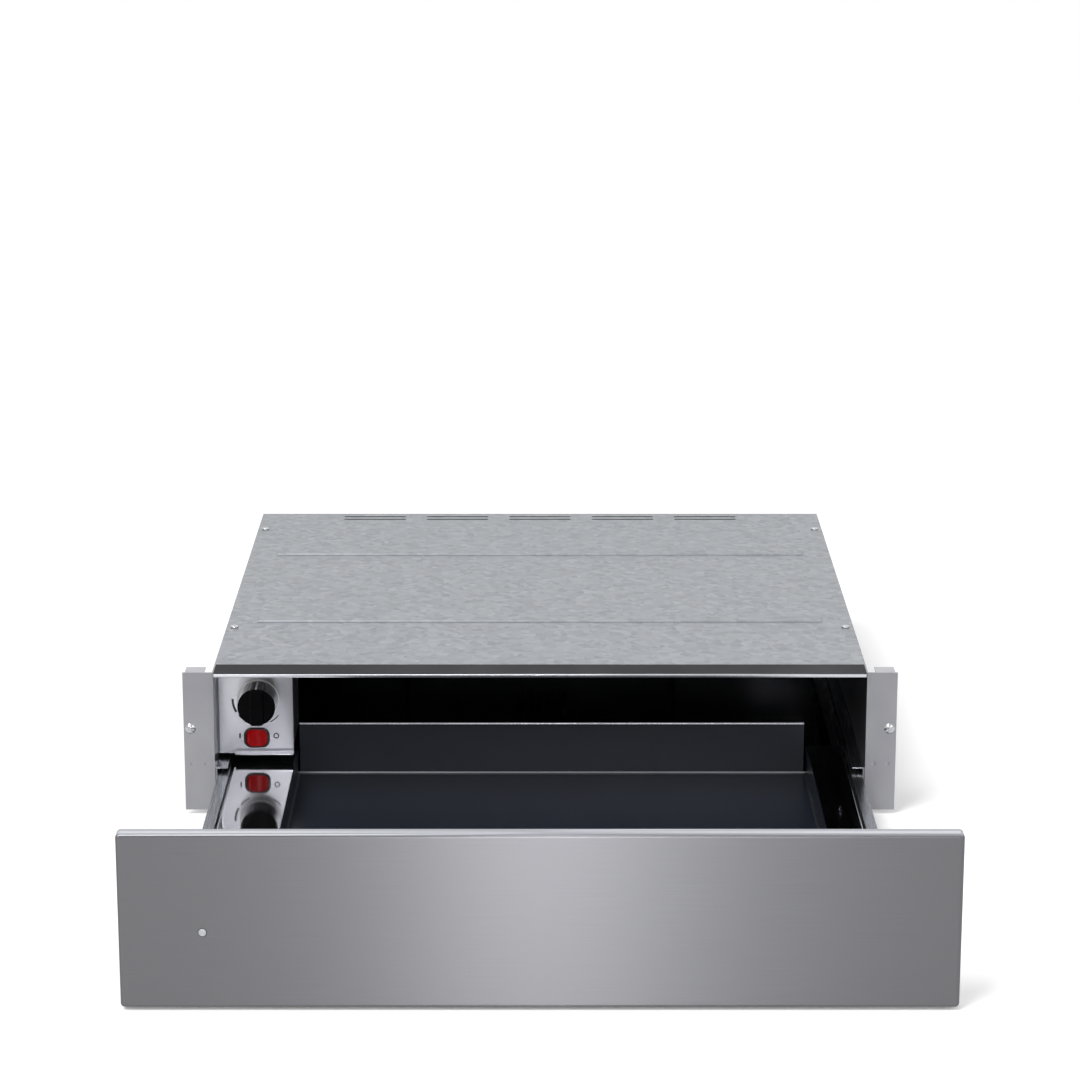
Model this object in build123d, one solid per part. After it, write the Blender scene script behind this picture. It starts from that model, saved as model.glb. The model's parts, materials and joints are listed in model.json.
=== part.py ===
from build123d import *
import math
import os

# Built in warming drawer, millimetres.
# X to the right, Y to the back, Z up. The origin is on the underside of the chassis, midway
# across, in the plane of the cabinet's front edges. The drawer is modelled pulled out.

# ---- driving dimensions: sheets and clearances ----
sheet = 1.0                 # all folded sheet steel
hole_clear = 0.1            # round a screw, rivet or tube in its own hole
run_clear = 0.08            # radial, shaft in a bearing bore
part_clear = 0.3            # between pieces that move past each other

# ---- chassis ----
body_width = 540.0          # outside the side walls
body_height = 121.0         # underside to the top of the cover
body_depth = 529.0          # cabinet face to the outside of the rear wall
flange_width = 25.0         # side wall's inner face to the flange's outer edge
flange_bottom = 3.3
flange_rise = 1.2                   # above the cover
flange_return = 15.0        # depth of the fold at the flange's top
flange_return_inset = (7.0, 2.0)
side_lip = 12.0             # folds along the side walls' top and bottom edges
side_lip_setback = 20.0
left_ribs = (7.0, 36.0)             # from the tray's left edge
right_ribs = (46.0, 24.0)           # from the tray's right edge
rib_width = 5.0
rib_height = 1.6
trim_depth = 24.0
trim_thickness = 0.6
trim_drop = 3.0
trim_clear = 0.4
trim_edge_r = 0.45
cover_rib_places = (0.3, 0.72)      # along the cover's depth
cover_rib_width = 14.0
cover_rib_height = 1.2
cover_rib_edge = 1.1
vent_length = 60.0
vent_width = 3.5
vent_pitch = 80.0
vent_count = 5
vent_rows = (12.0, 22.0)            # from the rear edge
rear_vent_rows = (0.28, 0.42, 0.56) # up the rear wall
rear_vent_shift = 32.0
weld_places = (7.0, 18.5)           # from the side wall's inner face
weld_z = 43.5
weld_r = 2.0
weld_depth = 0.25

# ---- cabinet screws ----
screw_inset = 5.6                   # from the flange's outer edge
screw_z = 73.8
screw_r = 2.0
screw_head_r = 4.4
screw_head = 2.2
screw_reach = 16.0
screw_neck_r = 2.4                  # where the shank fills the flange's hole
screw_neck = 2.0                    # behind the flange
recess_width = 1.0
recess_length = 4.6
recess_depth = 0.8

# ---- cover screws ----
cover_screw_r = 1.9
cover_screw_head_r = 3.5
cover_screw_head = 1.6
cover_screw_length = 6.0
cover_screw_ends = (135.0, 60.0)    # from the front and the rear edge
head_round = 0.5                    # a flat head's edge radius, as a share of its height

# ---- drawer and its travel ----
runner_overlap = 50.0               # runner length kept behind the cabinet face when open
front_overhang = 3.5                # beyond the flange's outer edge
front_rise = 9.8                    # above the flange's top
front_bottom = 2.0
front_depth = 12.0
front_edge_r = 3.0
front_face_r = 2.4
front_lining_r = 1.6
front_gap = 4.0                     # closed, front's back edge to the flange
core_clear = 0.3
plate_inset = 0.5
bumper_r = 5.0
bumper_edge_r = 1.0
bumper_inset = 13.0                 # from the flange's outer edge
bumper_margin = 16.0                # from the flange's top and bottom
lens_offset = -1.5                  # from the rocker it shows
lens_lift = 3.0
lens_r = 2.8
lens_proud = 0.6
lens_edge_r = 0.5

# ---- tray and shelves ----
left_shelf = 49.7                   # widths of the shelves beside the tray
right_shelf = 28.7
tray_floor = 11.5
tray_rear_space = 7.0               # closed, back wall's inner face to the partition
back_wall_top = 55.5
back_wall_gap_left = 0.5
back_wall_gap_right = 2.5
back_hem = 2.0
back_hem_depth = 1.2
shelf_top = 36.0
runner_space = 14.3                 # side wall to the shelf's outer wall
shelf_wall_bottom = 14.0
bend_r = 1.0
shelf_edge_r = 0.9
bracket_width = 20.0
bracket_length = 30.0
bracket_thickness = 1.5
bracket_height = 18.0
bracket_clear = 1.0
bracket_screw_inset = 11.0          # from the shelf's outer wall
bracket_screw_margin = 4.5
bracket_screw_pitch = 9.0
front_screw_r = 2.0
front_screw_head_r = 3.4
front_screw_head = 2.0
front_screw_length = 8.0

# ---- runners ----
runner_z = 27.5
runner_height = 22.0
runner_sheet = 1.2
runner_lip = 1.0
runner_rear_space = 20.0            # runner's end to the partition
runner_start = 4.0                  # behind the cabinet face, closed
mid_shorter = 20.0                  # middle runner than the others
outer_ball = 3.0
inner_ball = 2.6
ball_clear = 0.1
web_gap = 1.3                       # fixed web to mid web
mid_sheet = 1.0
runner_lip_depth = 10.0             # lips' ends from the side wall
mid_lip_depth = 11.5
inner_lip_clear = 1.0               # to the middle runner's web
outer_ball_inset = 6.0              # ball rows from the side wall
inner_ball_inset = 8.0
cage_sheet = 0.5
cage_length = 180.0
cage_balls = 8
cage_margin = 6.0
rivet_r = 2.0
rivet_head_r = 3.2
rivet_head = 1.0
rivet_margin = 40.0                 # from the runner's ends

# ---- control panel ----
panel_setback = 30.0                # panel's front face behind the cabinet face
panel_side_clear = 1.4              # to the side wall
panel_tray_clear = 1.0              # to the tray's left edge
panel_shelf_clear = 6.4             # above the shelf
panel_drop = 4.0                    # below the cover
panel_return = 6.0
panel_lip = 5.0                     # ledge along the lower edge
panel_lip_start = 13.0              # from the panel's left edge
box_depth = 80.0
box_sheet = 0.8

# ---- thermostat and its knob ----
knob_inset = 33.0                   # from the panel's left edge
knob_lift = 33.0                    # above the rocker
knob_r = 15.65
knob_back_r = 9.0
knob_gap = 0.4
knob_depth = 23.0
knob_rim = 2.5
knob_rim_edge = 0.8
grip_width = 12.0
grip_r = 15.8
grip_corner = 3.0
grip_proud = 1.6                    # ahead of the rim
grip_edge_r = 1.2
pointer_width = 1.4
pointer_ends = 2.0                  # from the grip's two ends
pointer_height = 0.3
shaft_r = 3.0
shaft_in_knob = 14.0
shaft_in_body = 14.0
shaft_clear_r = 3.8
ring_r = 17.6
ring_width = 1.0
ring_height = 0.3
thermostat_size = 30.0
thermostat_depth = 22.0
thermostat_corner = 2.0
capillary_r = 0.8
capillary_lift = 13.0               # above the knob's axis
capillary_bend = 5.0
bulb_r = 3.0
bulb_length = 60.0
bulb_stand = 8.0                    # bulb's axis in front of the partition
clip_width = 8.0

# ---- rocker switch ----
rocker_inset = 31.1                 # from the panel's left edge
rocker_lift = 13.6                  # above the panel's lower edge
bezel_width = 21.7
bezel_height = 17.4
bezel_depth = 1.8
bezel_corner = 6.4
bezel_edge_r = 0.9
well_corner = 5.0
rocker_height = 14.0
rocker_corner = 5.6
rocker_r = 8.6
rocker_well_clear = 0.35
rocker_front = 3.4                  # ahead of its pivot
rocker_back = 4.0                   # behind its pivot
rocker_pivot = 1.0                  # pivot behind the panel's front face
rocker_tilt = 8.0                   # degrees either side of the middle
rocker_edge_r = 0.6
rocker_dish = 0.7
rocker_dish_r = 32.0
switch_wall = 0.8
switch_depth = 18.0
blade_width = 6.3
blade_sheet = 0.8
blade_length = 8.0
blade_spread = 5.0

# ---- rear partition, fan and heater ----
fan_space = 55.0                    # rear wall's outer face to the partition
fan_x = 0.0
fan_lift = 1.5                      # above the chassis's middle
fan_size = 80.0
fan_depth = 25.0
fan_corner = 4.0
fan_stand = 12.0
fan_duct_r = 38.0
fan_strut = 4.0
fan_screw_span = 71.5
standoff_r = 4.0
motor_r = 13.5
motor_depth = 17.0
motor_base = 3.0
hub_r = 16.5
hub_wall = 1.5
blade_r = 36.5
blade_count = 7
blade_thick = 1.6
blade_pitch = 35.0
fan_shaft_r = 1.5
fan_shaft_length = 10.0
heater_ring_r = 40.0
heater_r = 3.2
heater_stand = 5.0
heater_gap = 15.0                   # degrees either side of the lowest point
heater_foot = 9.0                   # height of the legs' lower ends
clamp_height = 5.0
clamp_margin = 5.0
cover_plate_width = 260.0
cover_plate_space = 9.0             # above it, to the cover
cover_plate_bottom = 16.0
cover_plate_stand = 3.5
cover_plate_corner = 14.0
cover_plate_edge = 2.4
grille_slot = 4.0
grille_pitch = 8.0
grille_length = 34.0
grille_count = 7
outlet_columns = (-88.0, 88.0)
cutout_x = 100.0
cutout_z = 80.0
cutout_r = 8.0
cutout_depth = 7.0

# ---- mains side ----
gland_inset = 69.0                  # from the left side wall
gland_drop = 30.0                   # below the terminal block
gland_bore_r = 4.0
gland_body_r = 8.0
gland_flange_r = 12.0
gland_flange = 4.0
gland_nose = 8.0
gland_nose_r = 10.0
gland_nose_edge = 2.0
gland_nut = 4.0
block_inset = 64.0
block_drop = 25.0                   # below the harness
block_width = 40.0
block_height = 20.0
block_depth = 16.0
block_ways = 3
block_hole_r = 2.2
block_hole_depth = 8.0
harness_r = 3.0
harness_inset = 14.0
harness_drop = 26.0                 # below the cover
harness_bend = 10.0
harness_rear = 10.0                 # in front of the rear wall
grommet_wall = 1.4
grommet_flange = 1.4

# ---- push latch ----
latch_inset = 14.7                  # from the shelf's outer edge
latch_drop = 12.0                   # below the shelf's top
latch_body_r = 6.0
latch_depth = 40.0
plunger_r = 3.0
plunger_length = 32.0
plunger_stroke = 4.0
plunger_edge_r = 0.9
latch_flange = 2.0
latch_flange_size = 20.0

# ---- places worked out from the above ----
side_out = body_width / 2
side_in = side_out - sheet                  # side wall's inner face
flange_edge = side_in + flange_width
flange_top = body_height + flange_rise
cover_under = body_height - sheet
rear_in = body_depth - sheet
partition_y = body_depth - fan_space
partition_back = partition_y + sheet
screw_x = flange_edge - screw_inset

shelf_edge = side_in - runner_space
tray_left = left_shelf - shelf_edge         # tray's inner faces
tray_right = shelf_edge - right_shelf
tray_back = partition_y - tray_rear_space
front_width = 2 * (flange_edge + front_overhang)
front_height = flange_top + front_rise - front_bottom
front_back = -sheet - front_gap             # closed, back edge of the front's folded skin
front_face = front_back - front_depth       # closed
plate_back = front_back + sheet             # closed, inner plate's back face

runner_length = partition_y - runner_rear_space - runner_start
runner_end = runner_start + runner_length
travel = runner_length - runner_overlap
rivet_places = (rivet_margin, runner_length / 2, runner_length - rivet_margin)
mid_start = runner_start + mid_shorter / 2  # closed
mid_end = runner_end - mid_shorter / 2
fixed_web = side_in - runner_sheet
mid_web = fixed_web - web_gap
runner_lip_end = side_in - runner_lip_depth
mid_lip_end = side_in - mid_lip_depth
inner_lip_end = mid_web - mid_sheet - inner_lip_clear
outer_ball_x = side_in - outer_ball_inset
inner_ball_x = side_in - inner_ball_inset
# each cage is midway along the stretch that its two channels share when open
outer_cage_open = (runner_start + mid_end - travel / 2) / 2
outer_cage_start = outer_cage_open + travel / 4 - cage_length / 2
inner_cage_open = (mid_start - travel / 2 + runner_end - travel) / 2
inner_cage_start = inner_cage_open + travel * 3 / 4 - cage_length / 2

panel_left = panel_side_clear - side_in
panel_right = tray_left - panel_tray_clear
panel_bottom = shelf_top + panel_shelf_clear
panel_top = body_height - panel_drop
panel_back = panel_setback + sheet
box_back = panel_back + box_depth
rocker_x = panel_left + rocker_inset
rocker_z = panel_bottom + rocker_lift
knob_x = panel_left + knob_inset
knob_z = rocker_z + knob_lift
lens_x = rocker_x + lens_offset
lens_z = rocker_z + lens_lift

fan_z = body_height / 2 + fan_lift
fan_front = partition_back + fan_stand
fan_back = fan_front + fan_depth
cover_plate_height = body_height - cover_plate_space - cover_plate_bottom
harness_x = harness_inset - side_in
harness_z = body_height - harness_drop
block_x = block_inset - side_in
block_z = harness_z - block_drop
gland_x = gland_inset - side_in
gland_z = block_z - gland_drop
latch_x = shelf_edge - latch_inset
latch_z = shelf_top - latch_drop


# ---- shapes used throughout ----
def slab(x0, x1, y0, y1, z0, z1):
    """A block between two corners."""
    middle = Pos((x0 + x1) / 2, (y0 + y1) / 2, (z0 + z1) / 2)
    return middle * Box(abs(x1 - x0), abs(y1 - y0), abs(z1 - z0))


def rod_x(y, z, x0, x1, r):
    """A round bar along X."""
    return Pos((x0 + x1) / 2, y, z) * Rot(0, 90, 0) * Cylinder(r, abs(x1 - x0))


def rod_y(x, z, y0, y1, r):
    """A round bar along Y."""
    return Pos(x, (y0 + y1) / 2, z) * Rot(90, 0, 0) * Cylinder(r, abs(y1 - y0))


def rod_z(x, y, z0, z1, r):
    """A round bar along Z."""
    return Pos(x, y, (z0 + z1) / 2) * Cylinder(r, abs(z1 - z0))


def rounded_slab(x0, x1, y0, y1, z0, z1, r):
    """A block with its four edges along Y rounded."""
    block = slab(x0, x1, y0, y1, z0, z1)
    return fillet(block.edges().filter_by(Axis.Y), r)


def slot_z(x, y, z0, z1, length, width):
    """An upright slot cutter, long along X."""
    return Pos(x, y, (z0 + z1) / 2) * extrude(SlotOverall(length, width), (z1 - z0) / 2, both=True)


def slot_y(x, z, y0, y1, length, width):
    """A slot cutter through a wall across Y, long along Z."""
    place = Plane(origin=(x, (y0 + y1) / 2, z), x_dir=(0, 0, 1), z_dir=(0, 1, 0))
    return extrude(place * SlotOverall(length, width), abs(y1 - y0) / 2, both=True)


def tube_along(points, radii, r):
    """A round tube along straight runs joined by arcs."""
    path = FilletPolyline(*points, radius=radii)
    start = Plane(origin=path @ 0, z_dir=path % 0)
    return sweep(start * Circle(r), path)


def group(solids):
    """Several separate solids of one kind as one piece."""
    return Compound(children=list(solids))


def other_side(shape):
    """The same piece for the left side."""
    return mirror(shape, about=Plane.YZ)


def drawn_out(shape, share=1.0):
    """Moves a piece modelled at the closed drawer's place to the open one's."""
    return Pos(0, -travel * share, 0) * shape


# ---- chassis sheets ----
def chassis_base():
    base = slab(-side_out, side_out, -sheet, body_depth, 0, sheet)
    rib_start, rib_end = side_lip_setback, partition_y - side_lip_setback
    for x in rib_places():
        base += slab(x - rib_width / 2, x + rib_width / 2, rib_start, rib_end, sheet, rib_height)
    return base


def rib_places():
    """Pressed ribs along the floor, in line with the tray's two sides."""
    return [tray_left + x for x in left_ribs] + [tray_right - x for x in right_ribs]


def cabinet_screw_places():
    return [-screw_x, screw_x]


def rivet_holes(y_start, x0, x1, r):
    """Cutters along a runner for its rivets."""
    return [rod_x(y_start + y, runner_z, x0, x1, r) for y in rivet_places]


def chassis_side():
    wall = slab(side_in, side_out, 0, body_depth, sheet, cover_under)
    flange = slab(side_in, flange_edge, -sheet, 0, flange_bottom, flange_top)
    inset_in, inset_out = flange_return_inset
    fold = slab(side_in + inset_in, flange_edge - inset_out, 0, flange_return,
                flange_top - sheet, flange_top)
    lip_end = rear_in - side_lip_setback
    lip_x = side_in - side_lip
    low_lip = slab(lip_x, side_in, side_lip_setback, lip_end, sheet, 2 * sheet)
    high_lip = slab(lip_x, side_in, side_lip_setback, lip_end, cover_under - sheet, cover_under)
    side = wall + flange + fold + low_lip + high_lip
    side -= rod_y(screw_x, screw_z, -2 * sheet, sheet, screw_neck_r + hole_clear)
    weld_ball_r = (weld_r * weld_r + weld_depth * weld_depth) / (2 * weld_depth)
    for x in weld_places:
        side -= Pos(side_in + x, weld_depth - sheet - weld_ball_r, weld_z) * Sphere(weld_ball_r)
    for hole in rivet_holes(runner_start, side_in - sheet, side_out + sheet, rivet_r + hole_clear):
        side -= hole
    for x, y in cover_screw_places():
        if x > 0:
            side -= rod_z(x, y, cover_under - 2 * sheet, cover_under, cover_screw_r + hole_clear)
    return side


def cover_screw_places():
    """Two screws down each side of the cover."""
    front, rear = cover_screw_ends
    x = side_in - side_lip / 2
    return [(s * x, y) for s in (-1, 1) for y in (front, rear_in - rear)]


def chassis_cover():
    cover = slab(-side_out, side_out, 0, body_depth, cover_under, body_height)
    half = side_in - 2 * side_lip
    for share in cover_rib_places:
        y = body_depth * share
        rib = rounded_rib(half, y)
        cover += rib
    for row in vent_rows:
        for n in range(vent_count):
            x = (n - (vent_count - 1) / 2) * vent_pitch
            cover -= slot_z(x, body_depth - row, cover_under - sheet, body_height + sheet,
                            vent_length, vent_width)
    for x, y in cover_screw_places():
        cover -= rod_z(x, y, cover_under - sheet, body_height + sheet, cover_screw_r + hole_clear)
    return cover


def rounded_rib(half, y):
    """A pressed rib across the cover."""
    top = body_height + cover_rib_height
    rib = slab(-half, half, y - cover_rib_width / 2, y + cover_rib_width / 2, body_height, top)
    return chamfer(rib.faces().sort_by(Axis.Z)[-1].edges(), cover_rib_edge)


def cover_trim():
    half = side_in - trim_clear
    top = body_height + trim_thickness
    plate = slab(-half, half, 0, trim_depth, body_height, top)
    lip = slab(-half, half, -sheet, 0, body_height - trim_drop, top)
    trim = plate + lip
    front_edge = trim.edges().filter_by(Axis.X).group_by(Axis.Z)[-1].group_by(Axis.Y)[0]
    return fillet(front_edge, trim_edge_r)


def chassis_rear():
    wall = slab(-side_in, side_in, rear_in, body_depth, sheet, cover_under)
    for share in rear_vent_rows:
        z = body_height * share
        for n in range(vent_count):
            x = (n - (vent_count - 1) / 2) * vent_pitch + rear_vent_shift
            place = Plane(origin=(x, rear_in, z), x_dir=(1, 0, 0), z_dir=(0, 1, 0))
            wall -= extrude(place * SlotOverall(vent_length, vent_width), 2 * sheet, both=True)
    wall -= rod_y(gland_x, gland_z, rear_in - sheet, body_depth + sheet, gland_body_r + hole_clear)
    return wall


def rear_partition():
    wall = slab(-side_in, side_in, partition_y, partition_back, sheet, cover_under)
    front, back = partition_y - sheet, partition_back + sheet
    wall -= rod_y(fan_x, fan_z, front, back, fan_duct_r)
    wall -= rod_y(harness_x, harness_z, front, back, harness_r + grommet_wall + hole_clear)
    wall -= rod_y(latch_x, latch_z, front, back, plunger_r + part_clear)
    notch_x = side_in - side_lip - part_clear
    notch = sheet + part_clear
    for low in (sheet, cover_under - notch):
        wall -= slab(notch_x, side_in, front, back, low, low + notch)
        wall -= slab(-side_in, -notch_x, front, back, low, low + notch)
    return wall


def domed_head(x, z, y_face, r, height):
    """A domed head that stands forward of a face."""
    dome_r = (r * r + height * height) / (2 * height)
    ball = Pos(x, y_face - height + dome_r, z) * Sphere(dome_r)
    head = ball & rod_y(x, z, y_face - height, y_face, r)
    across = slab(x - recess_length / 2, x + recess_length / 2, y_face - height,
                  y_face - height + recess_depth, z - recess_width / 2, z + recess_width / 2)
    upright = slab(x - recess_width / 2, x + recess_width / 2, y_face - height,
                   y_face - height + recess_depth, z - recess_length / 2, z + recess_length / 2)
    return head - across - upright


def cabinet_screws():
    """Each has a thicker neck that fills the flange's hole and ends behind the flange."""
    screws = []
    for x in cabinet_screw_places():
        neck = rod_y(x, screw_z, -sheet, screw_neck, screw_neck_r)
        shank = rod_y(x, screw_z, screw_neck, screw_reach, screw_r)
        head = domed_head(x, screw_z, -sheet, screw_head_r, screw_head)
        screws.append(head + neck + shank)
    return group(screws)


def cover_screws():
    screws = []
    for x, y in cover_screw_places():
        head = rod_z(x, y, body_height, body_height + cover_screw_head, cover_screw_head_r)
        head = fillet(head.faces().sort_by(Axis.Z)[-1].edges(), cover_screw_head * head_round)
        shank = rod_z(x, y, body_height - cover_screw_length, body_height, cover_screw_r)
        screws.append(head + shank)
    return group(screws)


# ---- runners, modelled on the right side, drawer closed ----
outer_ball_z = runner_height / 2 - runner_lip - ball_clear - outer_ball / 2
mid_half = runner_height / 2 - runner_lip - 2 * ball_clear - outer_ball
inner_ball_z = mid_half - mid_sheet - ball_clear - inner_ball / 2
inner_half = mid_half - mid_sheet - 2 * ball_clear - inner_ball


def channel(x_web, x_lips, thick, lip, half, y0, y1):
    """A runner's channel, its web at x_web and its lips reaching to x_lips."""
    away = 1 if x_web > x_lips else -1
    web = slab(x_web, x_web + away * thick, y0, y1, runner_z - half, runner_z + half)
    high = slab(x_web, x_lips, y0, y1, runner_z + half - lip, runner_z + half)
    low = slab(x_web, x_lips, y0, y1, runner_z - half, runner_z - half + lip)
    return web + high + low


def runner_fixed():
    rail = channel(fixed_web, runner_lip_end, runner_sheet, runner_lip, runner_height / 2,
                   runner_start, runner_end)
    for hole in rivet_holes(runner_start, fixed_web - sheet, side_out, rivet_r + hole_clear):
        rail -= hole
    return rail


def runner_middle():
    rail = channel(mid_web - mid_sheet, mid_lip_end, mid_sheet, mid_sheet, mid_half,
                   mid_start, mid_end)
    return drawn_out(rail, 0.5)


def runner_inner():
    rail = channel(shelf_edge + runner_sheet, inner_lip_end, runner_sheet, runner_lip, inner_half,
                   runner_start, runner_end)
    for hole in rivet_holes(runner_start, shelf_edge, shelf_edge + 2 * sheet, rivet_r + hole_clear):
        rail -= hole
    return drawn_out(rail)


def ball_cage(start, ball, x_ball, z_ball, x_strip, x_arm_end, share):
    """A cage that holds a row of balls above and one below, as one clipped piece."""
    y1 = start + cage_length
    half = cage_sheet / 2
    cage = slab(x_strip, x_strip + cage_sheet, start, y1, runner_z - z_ball - half,
                runner_z + z_ball + half)
    pitch = (cage_length - 2 * cage_margin) / (cage_balls - 1)
    for side in (-1, 1):
        z = runner_z + side * z_ball
        cage += slab(x_arm_end, x_strip + half, start, y1, z - half, z + half)
        for n in range(cage_balls):
            cage += Pos(x_ball, start + cage_margin + n * pitch, z) * Sphere(ball / 2)
    return drawn_out(cage, share)


def outer_cage():
    x_strip = mid_web + (web_gap - cage_sheet) / 2
    return ball_cage(outer_cage_start, outer_ball, outer_ball_x, outer_ball_z, x_strip,
                     outer_ball_x - outer_ball, 0.25)


def inner_cage():
    gap = mid_web - mid_sheet - inner_lip_end
    x_strip = inner_lip_end + (gap - cage_sheet) / 2
    return ball_cage(inner_cage_start, inner_ball, inner_ball_x, inner_ball_z, x_strip,
                     inner_ball_x - inner_ball, 0.75)


def side_rivets():
    """Rivets through the side walls and the fixed runners."""
    rivets = []
    for y in rivet_places:
        head = rod_x(runner_start + y, runner_z, side_out, side_out + rivet_head, rivet_head_r)
        shank = rod_x(runner_start + y, runner_z, fixed_web, side_out, rivet_r)
        rivet = head + shank
        rivets += [rivet, other_side(rivet)]
    return group(rivets)


def drawer_rivets():
    """Rivets through the shelves' outer walls and the drawer's runners."""
    rivets = []
    wall = shelf_edge - sheet
    for y in rivet_places:
        head = rod_x(runner_start + y, runner_z, wall - rivet_head, wall, rivet_head_r)
        shank = rod_x(runner_start + y, runner_z, wall, shelf_edge + runner_sheet, rivet_r)
        rivet = drawn_out(head + shank)
        rivets += [rivet, other_side(rivet)]
    return group(rivets)


# ---- drawer front ----
def front_block(inset, y0, y1, r, face_r):
    """The front's rounded block, drawn in by an inset all round."""
    half = front_width / 2 - inset
    low = front_bottom + inset
    high = front_bottom + front_height - inset
    block = rounded_slab(-half, half, y0, y1, low, high, r)
    return fillet(block.faces().sort_by(Axis.Y)[0].edges(), face_r)


def front_skin():
    outside = front_block(0, front_face, front_back, front_edge_r, front_face_r)
    inside = front_block(sheet, front_face + sheet, front_back + sheet, front_edge_r - sheet,
                         front_lining_r)
    skin = outside - inside
    skin -= rod_y(lens_x, lens_z, front_face - sheet, front_back, lens_r + hole_clear)
    return drawn_out(skin)


def front_core():
    inset = sheet + core_clear
    core = front_block(inset, front_face + inset, front_back, front_edge_r - sheet, front_lining_r)
    core -= rod_y(lens_x, lens_z, front_face, front_back + sheet, lens_r + hole_clear)
    for x, z in front_screw_places():
        core -= rod_y(x, z, front_back - front_screw_length, front_back, front_screw_r + hole_clear)
    return drawn_out(core)


def front_inner_plate():
    half = front_width / 2 - plate_inset
    plate = rounded_slab(-half, half, front_back, plate_back, front_bottom + plate_inset,
                         front_bottom + front_height - plate_inset, front_edge_r)
    plate -= rod_y(lens_x, lens_z, front_back - sheet, plate_back + sheet, lens_r + hole_clear)
    for x, z in front_screw_places():
        plate -= rod_y(x, z, front_back - sheet, plate_back + sheet, front_screw_r + hole_clear)
    return drawn_out(plate)


def indicator_lens():
    rod = rod_y(lens_x, lens_z, front_face - lens_proud, plate_back, lens_r)
    return drawn_out(fillet(rod.faces().sort_by(Axis.Y)[0].edges(), lens_edge_r))


def front_bumpers():
    x = flange_edge - bumper_inset
    bumpers = []
    for z in (flange_bottom + bumper_margin, flange_top - bumper_margin):
        pad = rod_y(x, z, plate_back, -sheet - part_clear, bumper_r)
        pad = fillet(pad.faces().sort_by(Axis.Y)[-1].edges(), bumper_edge_r)
        pad = drawn_out(pad)
        bumpers += [pad, other_side(pad)]
    return group(bumpers)


def front_screw_places():
    """Two screws through each bracket's foot."""
    x = shelf_edge - sheet - bracket_screw_inset
    low = shelf_wall_bottom + bracket_clear + bracket_screw_margin
    return [(s * x, z) for s in (-1, 1) for z in (low, low + bracket_screw_pitch)]


def front_brackets():
    outer = shelf_edge - sheet
    z0 = shelf_wall_bottom + bracket_clear
    z1 = z0 + bracket_height
    leg = slab(outer - bracket_thickness, outer, plate_back + bracket_thickness,
               plate_back + bracket_length, z0, z1)
    foot = slab(outer - bracket_width, outer, plate_back, plate_back + bracket_thickness, z0, z1)
    right = leg + foot
    for x, z in front_screw_places():
        if x > 0:
            right -= rod_y(x, z, plate_back - sheet, plate_back + 2 * bracket_thickness,
                           front_screw_r + hole_clear)
    right = drawn_out(right)
    return group([right, other_side(right)])


def front_screws():
    screws = []
    seat = plate_back + bracket_thickness
    for x, z in front_screw_places():
        head = rod_y(x, z, seat, seat + front_screw_head, front_screw_head_r)
        head = fillet(head.faces().sort_by(Axis.Y)[-1].edges(), front_screw_head * head_round)
        shank = rod_y(x, z, front_back - front_screw_length, seat, front_screw_r)
        screws.append(drawn_out(head + shank))
    return group(screws)


# ---- tray and shelves ----
def drawer_tray():
    low = tray_floor - sheet
    under_shelf = shelf_top - sheet
    outside = slab(tray_left - sheet, tray_right + sheet, plate_back, tray_back + sheet, low,
                   under_shelf)
    outside = fillet(outside.edges().filter_by(Axis.Y).group_by(Axis.Z)[0], bend_r + sheet)
    inside = slab(tray_left, tray_right, plate_back + sheet, tray_back + 2 * sheet, tray_floor,
                  shelf_top)
    inside = fillet(inside.edges().filter_by(Axis.Y).group_by(Axis.Z)[0], bend_r)
    return drawn_out(outside - inside)


def drawer_back_wall():
    x0 = tray_left + back_wall_gap_left + bend_r
    x1 = tray_right - back_wall_gap_right
    wall = slab(x0, x1, tray_back, tray_back + sheet, tray_floor, back_wall_top)
    hem = slab(x0, x1, tray_back + sheet, tray_back + sheet + back_hem_depth,
               back_wall_top - back_hem, back_wall_top)
    return drawn_out(wall + hem)


def shelf(inner_edge):
    """A flat shelf with its outer wall folded down and a closing plate at the rear."""
    y1 = tray_back + sheet
    top = slab(inner_edge, shelf_edge, plate_back, y1, shelf_top - sheet, shelf_top)
    wall = slab(shelf_edge - sheet, shelf_edge, plate_back, y1, shelf_wall_bottom, shelf_top)
    piece = top + wall
    piece = fillet(piece.edges().filter_by(Axis.Y).group_by(Axis.Z)[-1].sort_by(Axis.X)[-1],
                   shelf_edge_r)
    rear = slab(inner_edge + sheet + part_clear, shelf_edge - sheet, y1 - sheet, y1,
                shelf_wall_bottom, shelf_top - sheet)
    piece += rear
    for hole in rivet_holes(runner_start, shelf_edge - 2 * sheet, shelf_edge + sheet,
                            rivet_r + hole_clear):
        piece -= hole
    return drawn_out(piece)


def shelf_right():
    return shelf(tray_right)


def shelf_left():
    return other_side(shelf(-tray_left))


# ---- control panel and what it carries ----
well_half_x = rocker_r + rocker_well_clear
well_half_z = rocker_height / 2 + rocker_well_clear


def switch_block(grow, y0, y1):
    """A rounded block about the rocker's middle, larger than its well by a margin all round."""
    half_x = well_half_x + grow
    half_z = well_half_z + grow
    return rounded_slab(rocker_x - half_x, rocker_x + half_x, y0, y1, rocker_z - half_z,
                        rocker_z + half_z, well_corner + grow)


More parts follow.
